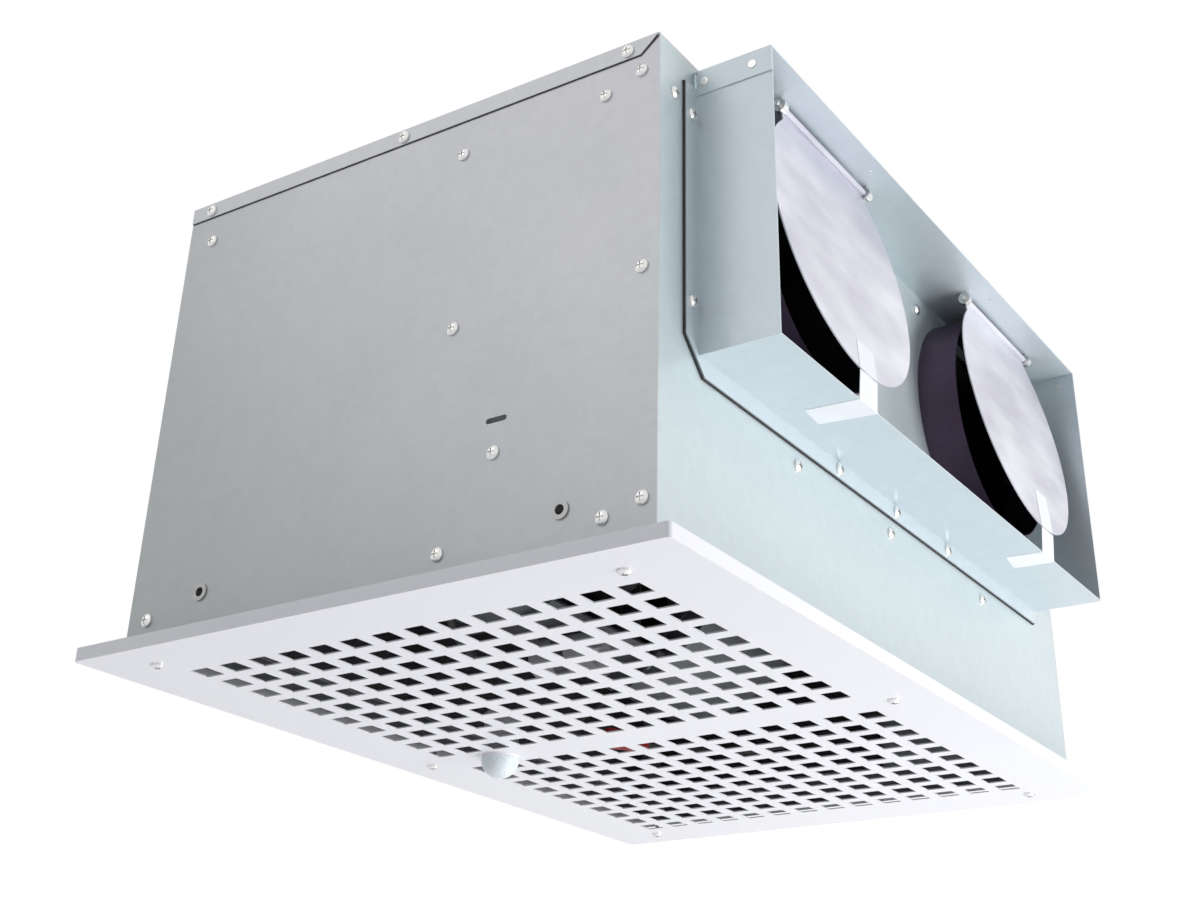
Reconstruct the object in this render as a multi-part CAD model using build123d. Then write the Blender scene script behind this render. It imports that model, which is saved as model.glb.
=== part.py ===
from build123d import *
import math
import os

# Ceiling ventilation fan, in millimetres. +X is the way the air leaves, +Z is up.
# The origin is the middle of the casing at the ceiling line.

# Casing
sheet = 1.0
case_length = 450.0
case_width = 690.0
case_height = 372.0
lip_depth = 13.5
lip_mitre = 15.0
outlet_return = 18.0
back_return = 31.0
frame_flange = 22.0
frame_leg = 30.0
slot_length = 17.0
slot_height = 4.0
slot_z = 107.0
liner_thickness = 12.0
liner_gap = 0.3
liner_hole = 5.0

# Grille
grille_margin = 24.0
grille_depth = 10.0
grille_corner = 3.0
hole_x = 17.4
hole_y = 18.4
hole_pitch_x = 28.2
hole_pitch_y = 30.2
hole_columns = 14
hole_rows = 10
bar_width = 42.6

# Duct hood and collars
hood_width = 597.0
hood_height = 225.0
hood_step = 6.0
hood_depth = 62.0
hood_lip = 21.0
gasket = 1.5
flange_side = 15.5
flange_bottom = 13.0
flange_chamfer = 23.0
flange_step = 16.0
collar_radius = 97.0
collar_y = 165.0
collar_drop = 94.5
collar_length = 34.0

# Backdraft flaps
flap_y = 169.0
flap_radius = 105.0
flap_drop = 90.0
flap_band = 132.0
flap_rest = 7.8
hinge_drop = 6.5
hinge_inset = 25.0
rod_radius = 1.5
rod_reach = 76.0
knuckle_radius = 2.4
eye_radius = 5.2
eye_width = 6.0
eye_neck = 2.4
running_gap = 0.05
side_gap = 0.8

# Transit tapes
tape_thickness = 0.3
tape_gap = 0.8
tape_laps = {-1: [(247.0, -190.0), (287.0, -187.0), (287.0, -159.0), (245.0, -164.5)],
             1: [(257.0, 151.5), (287.0, 155.0), (287.0, 182.0), (253.0, 180.0)]}
tape_feet = {-1: (-183.0, -155.7), 1: (160.6, 187.0)}
tape_tops = {-1: (-178.6, -152.0), 1: (169.0, 194.5)}
tape_rises = {-1: 25.5, 1: 37.5}

# Blowers and motor
blower_inset = 149.0
blower_drop = 187.0
blower_y = 165.0
scroll_reach = 125.0
floor_drop = 17.0
floor_flange = 19.0
wheel_radius = 86.0
wheel_eye = 71.0
wheel_half = 54.0
blade_count = 36
blade_thickness = 1.0
ring_thickness = 1.5
hub_radius = 16.0
hub_half = 12.0
scroll_half = 75.0
scroll_start = 98.0
scroll_end = 140.0
scroll_sweep = 282.0
scroll_border = 4.0
outlet_flange = 12.0
inlet_radius = 66.0
inlet_mouth = 80.0
shaft_radius = 6.0
shaft_reach = 226.0
motor_radius = 60.0
motor_half = 45.0
motor_wall = 2.0
cap_thickness = 4.0
boss_radius = 16.0
boss_reach = 66.0
bearing_radius = 12.0
bearing_width = 6.0
rubber_radius = 22.0
rubber_width = 6.0
base_drop = 101.0
base_half_x = 40.0
base_sheet = 2.0
base_flange = 18.0

# Occupancy sensor
sensor_inset = 81.0
sensor_barrel = 10.0
sensor_flange = 15.5
dome_radius = 16.0
dome_wall = 1.5
sensor_can = 15.0
can_height = 26.0

# Wiring
lead_radius = 3.0
box_inset = 23.0
box_length = 68.0
relay_length = 60.0
box_drop = 24.0
box_lift = 18.0
box_depth = 44.0
knockout_radius = 11.1
knockout_z = 64.0

# Fasteners
screw_head = 4.9
screw_height = 2.8
screw_shank = 2.1
screw_length = 9.0
hole_gap = 0.15
rivet_head = 3.3
rivet_shank = 1.6
nut_bore = 3.4
nut_flange = 6.5
nut_body = 4.6
nut_length = 15.0
hanger_inset = 70.0
hanger_z = 33.0

half_x = case_length / 2
half_y = case_width / 2
inner_x = half_x - sheet
inner_y = half_y - sheet
roof_z = case_height - sheet
hood_top_z = case_height - hood_step
hood_bottom = hood_top_z - hood_height
flange_top_z = hood_top_z - flange_step
hinge_z = hood_top_z - hinge_drop
collar_z = hinge_z - collar_drop
hood_x = half_x + hood_depth
hood_y = hood_width / 2
flange_x = half_x + gasket
hinge_x = hood_x - hinge_inset
grille_x = half_x + grille_margin
grille_y = half_y + grille_margin
blower_x = -half_x + blower_inset
blower_z = case_height - blower_drop
base_z = blower_z - base_drop
bulkhead_x = blower_x + scroll_reach
plenum_z = hood_bottom - floor_drop
sensor_x = -half_x + sensor_inset
hanger_x = half_x - hanger_inset
box_x0 = bulkhead_x + box_inset
box_x1 = box_x0 + box_length
box_z0 = frame_leg + box_lift
box_z1 = plenum_z - box_drop
slot_x = bulkhead_x + 52.0
knockout_x = bulkhead_x + 51.0
scroll_outlet_z0 = blower_z + scroll_start * math.sin(math.radians(scroll_sweep - 270.0))
scroll_outlet_z1 = blower_z + scroll_end

# Screw places as (x, z) on each side panel, (y, z) on the end faces
upper = case_height - 37.0
side_places = [
    (-half_x + 26.7, upper), (bulkhead_x + 8.3, upper - 6), (half_x - 43.8, upper - 0.3),
    (half_x - 14.4, case_height - 27.0), (half_x - 12.4, blower_z + 4), (bulkhead_x + 9.9, blower_z),
    (knockout_x, knockout_z + 19.4), (half_x - 38.9, 21.6), (half_x - 10.4, 29.0),
    (bulkhead_x + 10.3, 21.3), (-half_x + 19.0, 20.1),
]
lip_z = case_height - 7.4
lip_places = [(-half_x + 21.7, lip_z), (-1.4, lip_z), (half_x - 25.3, lip_z)]
corner_y = half_y - 19.0
outlet_places = [(-corner_y, upper - 3), (corner_y, upper - 3), (-160.0, plenum_z - 9),
                 (-8.0, plenum_z - 9), (172.0, plenum_z - 9),
                 (-76.7, case_height - 23.0), (76.7, case_height - 23.0)]
back_places = [(-corner_y, upper - 3), (corner_y, upper - 3), (-corner_y, 20.0), (corner_y, 20.0),
               (0.0, 20.0)]
flange_y = hood_y + flange_side / 2 + 0.25
flange_z = hood_bottom - flange_bottom / 2
flange_places = [(-flange_y, flange_top_z - 25.5), (-flange_y, hood_bottom + 35.5),
                 (flange_y, flange_top_z - 25.5), (flange_y, hood_bottom + 35.5),
                 (-98.0, flange_z), (98.0, flange_z), (0.0, flange_z)]
rivet_places = [(flange_x + 7.0, hood_top_z - 10.7), (hood_x - 15.0, hood_top_z - 10.7)]
screw_y = half_y - 11.0
grille_places = [(half_x - 29.0, -screw_y), (-half_x + 25.0, -screw_y), (half_x - 9.0, 0.0),
                 (-half_x + 9.0, 0.0), (half_x - 33.0, screw_y), (-half_x + 29.0, screw_y)]
bolt_row = scroll_half + 6.0
bulkhead_places = [(row + end * bolt_row, z) for row in (-blower_y, blower_y) for end in (-1, 1)
                   for z in (scroll_outlet_z1 + 6.0, scroll_outlet_z0 - 6.4)]


def slab(x0, x1, y0, y1, z0, z1):
    """A block between two corners."""
    return Pos((x0 + x1) / 2, (y0 + y1) / 2, (z0 + z1) / 2) * Box(x1 - x0, y1 - y0, z1 - z0)


def facing(point, direction):
    """A place at a point whose local +Z looks along a direction."""
    return Plane(origin=point, z_dir=direction).location


def drum(point, direction, radius, length):
    """A cylinder that starts at a point and runs along a direction."""
    flush = (Align.CENTER, Align.CENTER, Align.MIN)
    return facing(point, direction) * Cylinder(radius, length, align=flush)


def tube(point, direction, outer, inner, length):
    """A hollow cylinder that starts at a point and runs along a direction."""
    return drum(point, direction, outer, length) - drum(point, direction, inner, length)


def joined(pieces):
    """One solid from touching pieces."""
    whole = pieces[0]
    for piece in pieces[1:]:
        whole = whole + piece
    return whole


def cut(body, tools):
    """A body with every tool taken away."""
    for tool in tools:
        body = body - tool
    return body


def holes(points, direction, radius, length):
    """Drills for a row of screws: each starts outside the sheet and goes inwards."""
    out = Vector(*direction)
    return [drum(Vector(*p) + out * 2, -out, radius, length) for p in points]


def pan_screw(head, height, shank, length):
    """Pan head with a cross recess: seat at z = 0, head above, shank below."""
    profile = Polyline((0, 0), (head, 0), (head, height * 0.45))
    crown = ThreePointArc((head, height * 0.45), (head * 0.68, height * 0.86), (0, height))
    axis = Line((0, height), (0, 0))
    body = revolve(Plane.XZ * make_face(profile + crown + axis), Axis.Z)
    recess = Pos(0, 0, height) * (Box(head * 1.1, 1.1, 3.0) + Box(1.1, head * 1.1, 3.0))
    stem = drum((0, 0, 0), (0, 0, -1), shank, length)
    return body + stem - recess


def placed(piece, points, direction):
    """Copies of a fastener at each point, its head along a direction."""
    return [facing(p, direction) * piece for p in points]


def write(name, pieces):
    """One STEP for one node; a list of solids becomes a group."""
    flat = []
    for piece in pieces if isinstance(pieces, list) else [pieces]:
        flat.extend(piece.solids())
    shape = flat[0] if len(flat) == 1 else Compound(children=flat)
    export_step(shape, f"parts/{name}.step")


os.makedirs("parts", exist_ok=True)

sides = {"left": -1, "right": 1}
drill = screw_shank + hole_gap
big_drill = 30.0


def side_points(places, side, y=half_y):
    return [(x, side * y, z) for x, z in places]


# Casing panels
def side_panel(side):
    y0, y1 = sorted((side * inner_y, side * half_y))
    panel = slab(-half_x, half_x, y0, y1, 0, roof_z)
    tools = holes(side_points(side_places + lip_places, side), (0, side, 0), drill, big_drill)
    hangers = [(-hanger_x, hanger_z), (hanger_x, hanger_z)]
    tools += holes(side_points(hangers, side), (0, side, 0), nut_body + hole_gap, big_drill)
    slot = Pos(slot_x, side * half_y, slot_z) * Box(slot_length - slot_height, 6 * sheet, slot_height)
    tools.append(slot)
    for end in (-1, 1):
        x = slot_x + end * (slot_length - slot_height) / 2
        tools.append(drum((x, side * (half_y + 3), slot_z), (0, -side, 0), slot_height / 2, 8))
    if side > 0:
        tools += holes([(knockout_x, half_y, knockout_z)], (0, 1, 0), knockout_radius, 10)
    return cut(panel, tools)


def top_cover():
    over_y = half_y + sheet
    plate = slab(-half_x, half_x, -over_y, over_y, roof_z, case_height)
    pieces = [plate]
    for side in (-1, 1):
        low = case_height - lip_depth
        outline = Polyline((-half_x, case_height), (half_x, case_height),
                           (half_x - lip_mitre, low), (-half_x, low), close=True)
        lip = extrude(Plane(origin=(0, side * half_y, 0), x_dir=(1, 0, 0), z_dir=(0, -1, 0))
                      * make_face(outline), -side * sheet)
        pieces.append(lip)
    whole = joined(pieces)
    tools = []
    for side in (-1, 1):
        tools += holes(side_points(lip_places, side, over_y), (0, side, 0), drill, 8)
    return cut(whole, tools)


def end_panel(end, return_width):
    x0, x1 = sorted((end * inner_x, end * half_x))
    plate = slab(x0, x1, -inner_y, inner_y, 0, roof_z)
    r0, r1 = sorted((end * (half_x - return_width), end * half_x))
    pieces = [plate]
    for side in (-1, 1):
        y0, y1 = sorted((side * (inner_y - sheet), side * inner_y))
        pieces.append(slab(r0, r1, y0, y1, sheet, roof_z))
    pieces.append(slab(r0, r1, -inner_y, inner_y, roof_z - sheet, roof_z))
    return joined(pieces)


def side_drills(side):
    """The side screws' and rivet nuts' drills, through whatever lies behind the panel."""
    tools = holes(side_points(side_places + lip_places, side), (0, side, 0), drill, big_drill)
    hangers = [(-hanger_x, hanger_z), (hanger_x, hanger_z)]
    return tools + holes(side_points(hangers, side), (0, side, 0), nut_body + hole_gap, big_drill)


both_side_drills = side_drills(-1) + side_drills(1)


def outlet_end_panel():
    tools = holes([(half_x, y, z) for y, z in outlet_places + flange_places], (1, 0, 0), drill, 20)
    for side in (-1, 1):
        tools.append(drum((half_x + 5, side * collar_y, collar_z), (-1, 0, 0), collar_radius, 20))
    return cut(end_panel(1, outlet_return), tools + both_side_drills)


def back_end_panel():
    tools = holes([(-half_x, y, z) for y, z in back_places], (-1, 0, 0), drill, 20)
    return cut(end_panel(-1, back_return), tools + both_side_drills)


def bottom_frame():
    flange = slab(-inner_x, inner_x, -inner_y, inner_y, 0, sheet)
    flange -= slab(-inner_x + frame_flange, inner_x - frame_flange,
                   -inner_y + frame_flange, inner_y - frame_flange, -1, 2)
    pieces = [flange]
    leg_x0 = -half_x + back_return + 0.2
    leg_x1 = half_x - outlet_return - 0.2
    for side in (-1, 1):
        y0, y1 = sorted((side * (inner_y - sheet), side * inner_y))
        pieces.append(slab(leg_x0, leg_x1, y0, y1, 0, frame_leg))
        x0, x1 = sorted((side * (inner_x - sheet), side * inner_x))
        pieces.append(slab(x0, x1, -inner_y + sheet, inner_y - sheet, 0, frame_leg))
    tools = holes([(x, y, 0) for x, y in grille_places], (0, 0, -1), drill, 8)
    tools += holes([(-half_x, y, z) for y, z in back_places], (-1, 0, 0), drill, 20)
    return cut(joined(pieces), tools + both_side_drills)


# Grille tray with two fields of square holes
def grille():
    outer = Rectangle(2 * grille_x, 2 * grille_y)
    outer = fillet(outer.vertices(), grille_corner)
    tray = Pos(0, 0, -grille_depth) * extrude(outer, grille_depth)
    inner = Rectangle(2 * (grille_x - sheet), 2 * (grille_y - sheet))
    inner = fillet(inner.vertices(), grille_corner - sheet)
    tray -= Pos(0, 0, -grille_depth + sheet) * extrude(inner, grille_depth)
    field_y = (bar_width + hole_y + (hole_rows - 1) * hole_pitch_y) / 2
    for side in (-1, 1):
        grid = GridLocations(hole_pitch_x, hole_pitch_y, hole_columns, hole_rows)
        windows = [place * Box(hole_x, hole_y, 4 * sheet) for place in grid]
        tray -= [Pos(0, side * field_y, -grille_depth) * window for window in windows]
    tools = holes([(x, y, -grille_depth) for x, y in grille_places], (0, 0, -1), drill, 6)
    tools += holes([(sensor_x, 0, -grille_depth)], (0, 0, -1), sensor_barrel + hole_gap, 6)
    return cut(tray, tools)


# Duct hood
def hood_wrap():
    outline = Polyline(
        (-hood_y - flange_side, flange_top_z), (-hood_y, flange_top_z), (-hood_y, hood_top_z - sheet),
        (-hood_y + sheet, hood_top_z - sheet), (-hood_y + sheet, hood_bottom + sheet),
        (hood_y - sheet, hood_bottom + sheet), (hood_y - sheet, hood_top_z - sheet),
        (hood_y, hood_top_z - sheet), (hood_y, flange_top_z), (hood_y + flange_side, flange_top_z),
        (hood_y + flange_side, hood_bottom - flange_bottom + flange_chamfer),
        (hood_y + flange_side - flange_chamfer, hood_bottom - flange_bottom),
        (-hood_y - flange_side + flange_chamfer, hood_bottom - flange_bottom),
        (-hood_y - flange_side, hood_bottom - flange_bottom + flange_chamfer), close=True)
    yz = Plane(origin=(flange_x, 0, 0), x_dir=(0, 1, 0), z_dir=(1, 0, 0))
    flange = extrude(yz * make_face(outline), sheet)
    bottom = slab(flange_x, hood_x, -hood_y, hood_y, hood_bottom, hood_bottom + sheet)
    pieces = [flange, bottom]
    for side in (-1, 1):
        y0, y1 = sorted((side * (hood_y - sheet), side * hood_y))
        pieces.append(slab(flange_x, hood_x, y0, y1, hood_bottom, hood_top_z - sheet))
    tools = holes([(flange_x + sheet, y, z) for y, z in flange_places], (1, 0, 0), drill, 20)
    for side in (-1, 1):
        tools += holes(side_points(rivet_places, side, hood_y), (0, side, 0), rivet_shank + 0.05, 6)
    return cut(joined(pieces), tools)


def hood_gasket():
    border = 1.0
    low = hood_bottom - flange_bottom - border
    wide = hood_y + flange_side + border
    outline = Polyline((-wide, flange_top_z), (-hood_y + sheet, flange_top_z),
                       (-hood_y + sheet, hood_bottom + sheet), (hood_y - sheet, hood_bottom + sheet),
                       (hood_y - sheet, flange_top_z), (wide, flange_top_z),
                       (wide, low + flange_chamfer), (wide - flange_chamfer, low),
                       (-wide + flange_chamfer, low), (-wide, low + flange_chamfer), close=True)
    yz = Plane(origin=(half_x, 0, 0), x_dir=(0, 1, 0), z_dir=(1, 0, 0))
    strip = extrude(yz * make_face(outline), gasket)
    return cut(strip, holes([(flange_x, y, z) for y, z in flange_places], (1, 0, 0), drill, 20))


def hood_top():
    over_y = hood_y + sheet
    under = hood_top_z - sheet
    pieces = [slab(half_x, hood_x, -over_y, over_y, under, hood_top_z)]
    tools = []
    for side in (-1, 1):
        y0, y1 = sorted((side * hood_y, side * over_y))
        pieces.append(slab(flange_x + sheet, hood_x, y0, y1, hood_top_z - hood_lip, hood_top_z))
        tools += holes(side_points(rivet_places, side, over_y), (0, side, 0), rivet_shank + 0.05, 6)
        tools.append(drum((hinge_x + 14.5, side * 118.7, hood_top_z + 2), (0, 0, -1), 1.5, 5))
    return cut(joined(pieces), tools)


def hinge_eyes():
    """Four eyes welded under the hood's top plate, two for each flap's rod."""
    eyes = []
    for side in (-1, 1):
        for end in (-1, 1):
            y = side * flap_y + end * (flap_band / 2 + side_gap + eye_width / 2)
            ring = drum((hinge_x, y - eye_width / 2, hinge_z), (0, 1, 0), eye_radius, eye_width)
            neck = slab(hinge_x - eye_neck, hinge_x + eye_neck, y - eye_width / 2, y + eye_width / 2,
                        hinge_z, hood_top_z - sheet)
            bore = drum((hinge_x, y - eye_width, hinge_z), (0, 1, 0), rod_radius + 0.02, 2 * eye_width)
            eyes.append(ring + neck - bore)
    return eyes


def collar(side):
    start = (inner_x - 2, side * collar_y, collar_z)
    ring = tube(start, (1, 0, 0), collar_radius, collar_radius - sheet, collar_length + sheet + 2)
    seat = tube((inner_x - sheet, side * collar_y, collar_z), (1, 0, 0),
                collar_radius + 8, collar_radius - sheet, sheet)
    return ring + seat


# Backdraft flaps: drawn hanging straight down, then tilted out to where the tapes hold them
def at_hinge(shape, side):
    tilt = Pos(hinge_x, side * flap_y, hinge_z) * Rot(0, -flap_rest, 0)
    return tilt * shape


def flap(side):
    disc = Pos(0, -flap_drop) * Circle(flap_radius)
    band = Pos(0, -flap_drop / 2) * Rectangle(flap_band, flap_drop)
    keep = Pos(0, -flap_drop - flap_radius) * Rectangle(4 * flap_radius,
                                                        2 * (flap_drop + flap_radius))
    shape = (disc + band) & keep
    shape = fillet(shape.vertices().group_by(Axis.Y)[-1], 2.0)
    yz = Plane(origin=(-knuckle_radius, 0, 0), x_dir=(0, 1, 0), z_dir=(1, 0, 0))
    leaf = extrude(yz * shape, sheet)
    barrel = drum((0, -flap_band / 2, 0), (0, 1, 0), knuckle_radius, flap_band)
    bore = drum((0, -flap_band, 0), (0, 1, 0), rod_radius + running_gap, 2 * flap_band)
    return at_hinge(leaf + barrel - bore, side)


def hinge_rod(side):
    start = (hinge_x, side * flap_y - rod_reach, hinge_z)
    rod = drum(start, (0, 1, 0), rod_radius, 2 * rod_reach)
    for end in (-1, 1):
        rod += drum((hinge_x, side * flap_y + end * rod_reach, hinge_z), (0, end, 0), 2.4, 1.2)
    return rod


def flap_tape(side):
    foot = flap_drop + flap_radius
    top = foot - tape_rises[side]
    centre = side * flap_y
    low, high = tape_feet[side], tape_tops[side]
    outline = Polyline((low[0] - centre, -foot), (low[1] - centre, -foot),
                       (high[1] - centre, -top), (high[0] - centre, -top), close=True)
    plane = Plane(origin=(-knuckle_radius + sheet, 0, 0), x_dir=(0, 1, 0), z_dir=(1, 0, 0))
    strip = extrude(plane * make_face(outline), tape_thickness)
    disc = drum((-10, 0, -flap_drop), (1, 0, 0), flap_radius, 20)
    return at_hinge(strip & disc, side)


def hood_tape(side):
    lap = Pos(0, 0, hood_bottom - tape_thickness) * extrude(
        make_face(Polyline(*tape_laps[side], close=True)), tape_thickness)
    corners = tape_laps[side]
    y0, y1 = corners[1][1], corners[2][1]
    foot = flap_drop + flap_radius
    tip_z = hinge_z - foot * math.cos(math.radians(flap_rest)) - tape_gap
    low = hood_bottom - tape_thickness
    outline = Polyline((y0, low), (y1, low), (tape_feet[side][1], tip_z),
                       (tape_feet[side][0], tip_z), close=True)
    plane = Plane(origin=(hood_x, 0, 0), x_dir=(0, 1, 0), z_dir=(1, 0, 0))
    return lap + extrude(plane * make_face(outline), tape_thickness)


# Bulkhead and plenum floor behind the collars
def bulkhead():
    x0, x1 = bulkhead_x, bulkhead_x + sheet
    low = plenum_z - floor_flange + sheet
    pieces = [slab(x0, x1, -inner_y, inner_y, low, roof_z)]
    for side in (-1, 1):
        y0, y1 = sorted((side * (inner_y - sheet), side * inner_y))
        pieces.append(slab(x0, x0 + 19, y0, y1, low, roof_z))
    tools = [slab(x0 - 2, x1 + 2, side * blower_y - scroll_half + sheet,
                  side * blower_y + scroll_half - sheet, scroll_outlet_z0, scroll_outlet_z1)
             for side in (-1, 1)]
    tools += holes([(bulkhead_x - sheet, y, z) for y, z in bulkhead_places], (-1, 0, 0), drill, 12)
    return cut(joined(pieces), tools + both_side_drills)


def plenum_floor():
    x0, x1 = bulkhead_x + sheet, inner_x
    side_y = inner_y - sheet
    low = plenum_z - floor_flange + sheet
    pieces = [slab(x0, x1, -side_y, side_y, plenum_z, plenum_z + sheet),
              slab(x0, x0 + sheet, -side_y, side_y, low, plenum_z + sheet),
              slab(x1 - sheet, x1, -side_y, side_y, low, plenum_z + sheet)]
    tools = holes([(half_x, y, z) for y, z in outlet_places + flange_places], (1, 0, 0), drill, 20)
    return cut(joined(pieces), tools)


def liners(side):
    y0, y1 = sorted((side * inner_y, side * (inner_y - liner_thickness)))
    top = roof_z - liner_thickness - liner_gap
    intake = slab(-half_x + back_return + 1, bulkhead_x - liner_gap, y0, y1, frame_leg + 1, top)
    plenum = slab(bulkhead_x + 20, half_x - outlet_return - 1, y0, y1, plenum_z + sheet, top)
    tools = holes(side_points(side_places, side), (0, side, 0), liner_hole, 60)
    tools += holes(side_points([(-hanger_x, hanger_z)], side), (0, side, 0), 2 * liner_hole, 60)
    return [cut(intake, tools), cut(plenum, tools)]


def liner_back():
    y = inner_y - liner_thickness - liner_gap
    x0 = -inner_x
    pad = slab(x0, x0 + liner_thickness, -y, y, frame_leg + 1, roof_z - liner_thickness - liner_gap)
    return cut(pad, holes([(-half_x, y, z) for y, z in back_places], (-1, 0, 0), liner_hole, 40))


def liner_top():
    y = inner_y - sheet - liner_gap
    z0 = roof_z - liner_thickness
    tools = []
    for side in (-1, 1):
        tools += holes(side_points(lip_places, side), (0, side, 0), liner_hole, 20)
    return [cut(slab(-half_x + back_return + 1, bulkhead_x - liner_gap, -y, y, z0, roof_z), tools),
            cut(slab(bulkhead_x + 20, half_x - outlet_return - 1, -y, y, z0, roof_z), tools)]


# Scroll housings: the radius grows steadily round the wheel, then a straight run to the bulkhead
def spiral_points(extra):
    steps = 24
    points = []
    for k in range(steps + 1):
        turned = scroll_sweep * k / steps
        angle = math.radians(scroll_sweep - 270.0 - turned)
        radius = scroll_start + (scroll_end - scroll_start) * turned / scroll_sweep + extra
        points.append((blower_x + radius * math.cos(angle), blower_z + radius * math.sin(angle)))
    return points


xz_plane = Plane(origin=(0, 0, 0), x_dir=(1, 0, 0), z_dir=(0, -1, 0))


def scroll_face(extra, reach):
    points = spiral_points(extra)
    curve = Spline(*points)
    first, last = points[0], points[-1]
    close = Polyline(last, (reach, last[1]), (reach, first[1]), first)
    return make_face(curve + close)


def scroll_wrap(side):
    reach = bulkhead_x
    skin = scroll_face(sheet, reach)
    hollow = scroll_face(0, reach + 5)
    y0 = side * blower_y
    half = scroll_half - sheet
    solid = extrude(xz_plane * skin, half, both=True)
    air = extrude(xz_plane * hollow, half + 5, both=True)
    wall = Pos(0, y0, 0) * (solid - air)
    mouth_low, mouth_high = scroll_outlet_z0, scroll_outlet_z1
    wide = scroll_half + outlet_flange
    flange = slab(reach - sheet, reach, y0 - wide, y0 + wide,
                  mouth_low - outlet_flange, mouth_high + outlet_flange)
    flange -= slab(reach - 5, reach + 5, y0 - half, y0 + half, mouth_low, mouth_high)
    tools = holes([(bulkhead_x - sheet, y, z) for y, z in bulkhead_places], (-1, 0, 0), drill, 12)
    return cut(wall + flange, tools)


def scroll_sides(side):
    outline = scroll_face(scroll_border, bulkhead_x - sheet)
    plates = []
    for end in (-1, 1):
        y = side * blower_y + end * (scroll_half - sheet / 2)
        plate = Pos(0, y, 0) * extrude(xz_plane * outline, sheet / 2, both=True)
        plate -= drum((blower_x, y - 5, blower_z), (0, 1, 0), inlet_mouth + 1.2, 10)
        if end == -side:
            plate = cut(plate, motor_bolt_drills())
        plates.append(plate)
    return plates


def inlet_rings(side):
    rings = []
    for end in (-1, 1):
        out = scroll_half
        air = ThreePointArc((inlet_mouth, out + sheet), (inlet_radius + 4.0, out - 5),
                            (inlet_radius, wheel_half + 3))
        back = ThreePointArc((inlet_radius + sheet, wheel_half + 3), (inlet_radius + 5.0, out - 5.5),
                             (inlet_mouth + sheet, out))
        rim = Polyline((inlet_mouth + sheet, out), (inlet_mouth + 9, out),
                       (inlet_mouth + 9, out + sheet), (inlet_mouth, out + sheet))
        tip = Line((inlet_radius, wheel_half + 3), (inlet_radius + sheet, wheel_half + 3))
        profile = make_face(air + tip + back + rim)
        ring = revolve(Plane.XZ * profile, Axis.Z)
        rings.append(facing((blower_x, side * blower_y, blower_z), (0, end, 0)) * ring)
    return rings


# Impellers: forward-curved blades between two end rings and a middle disc
def impeller(side):
    middle = tube((0, 0, -ring_thickness / 2), (0, 0, 1), wheel_radius, shaft_radius + 0.02, ring_thickness)
    boss = tube((0, 0, -hub_half), (0, 0, 1), hub_radius, shaft_radius + 0.02, 2 * hub_half)
    wheel = middle + boss
    wheel -= drum((0, 0, 6), (1, 0, 0), 2.5, hub_radius + 5)
    for end in (-1, 1):
        ring = tube((0, 0, end * (wheel_half - ring_thickness / 2) - ring_thickness / 2), (0, 0, 1),
                    wheel_radius, wheel_eye - 1, ring_thickness)
        wheel += ring
    inner = (wheel_eye, 0)
    lead = math.radians(11.0)
    tip_radius = wheel_radius - 1
    tip = (tip_radius * math.cos(lead), tip_radius * math.sin(lead))
    middle_radius = (wheel_eye + tip_radius) / 2 + 1.0
    bend = (middle_radius * math.cos(lead * 0.28), middle_radius * math.sin(lead * 0.28))
    arc = ThreePointArc(inner, bend, tip)
    outer_arc = ThreePointArc((inner[0], inner[1] - blade_thickness),
                              (bend[0] + 0.6, bend[1] - 0.8), (tip[0] + 0.5, tip[1] - 0.9))
    blade_face = make_face(arc + Line(tip, (tip[0] + 0.5, tip[1] - 0.9)) + outer_arc
                           + Line((inner[0], inner[1] - blade_thickness), inner))
    blade = extrude(blade_face, wheel_half - 0.2, both=True)
    blades = [Rot(0, 0, 360.0 * k / blade_count) * blade for k in range(blade_count)]
    wheel = wheel + blades
    return facing((blower_x, side * blower_y, blower_z), (0, 1, 0)) * wheel


def set_screws():
    screws = []
    for side in (-1, 1):
        local = drum((0, 0, 6), (1, 0, 0), 2.4, hub_radius)
        local -= drum((0, 0, 0), (0, 0, 1), shaft_radius + 0.05, 20)
        local -= Pos(hub_radius, 0, 6) * Box(3, 0.8, 8)
        screws.append(facing((blower_x, side * blower_y, blower_z), (0, 1, 0)) * local)
    return screws


# Motor: shell, stator, end caps with bearings, on a base with two yokes and rubber rings
def motor_axis(y):
    return (blower_x, y, blower_z)


def motor_shell():
    return tube(motor_axis(-motor_half), (0, 1, 0), motor_radius, motor_radius - motor_wall, 2 * motor_half)


def motor_stator():
    half = motor_half - 12
    return tube(motor_axis(-half), (0, 1, 0), motor_radius - motor_wall, 30.5, 2 * half)


def motor_core():
    half = motor_half - 14
    return tube(motor_axis(-half), (0, 1, 0), 30.0, shaft_radius + 0.02, 2 * half)


def motor_caps():
    caps = []
    for end in (-1, 1):
        start = motor_axis(end * motor_half)
        cap = drum(start, (0, end, 0), motor_radius, cap_thickness)
        cap += drum(start, (0, end, 0), boss_radius, boss_reach - motor_half)
        cap -= drum(motor_axis(end * (motor_half - 1)), (0, end, 0), shaft_radius + 1.5, 60)
        pocket = boss_reach - bearing_width - 1
        cap -= drum(motor_axis(end * pocket), (0, end, 0), bearing_radius, 20)
        vents = []
        for k in range(8):
            angle = math.radians(45.0 * k)
            x = blower_x + 38 * math.cos(angle)
            z = blower_z + 38 * math.sin(angle)
            vents.append(drum((x, end * (motor_half - 1), z), (0, end, 0), 7.5, 10))
        caps.append(cut(cap, vents))
    return caps


def motor_bearings():
    return [tube(motor_axis(end * (boss_reach - bearing_width - 1)), (0, end, 0),
                 bearing_radius, shaft_radius + running_gap, bearing_width) for end in (-1, 1)]


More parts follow.
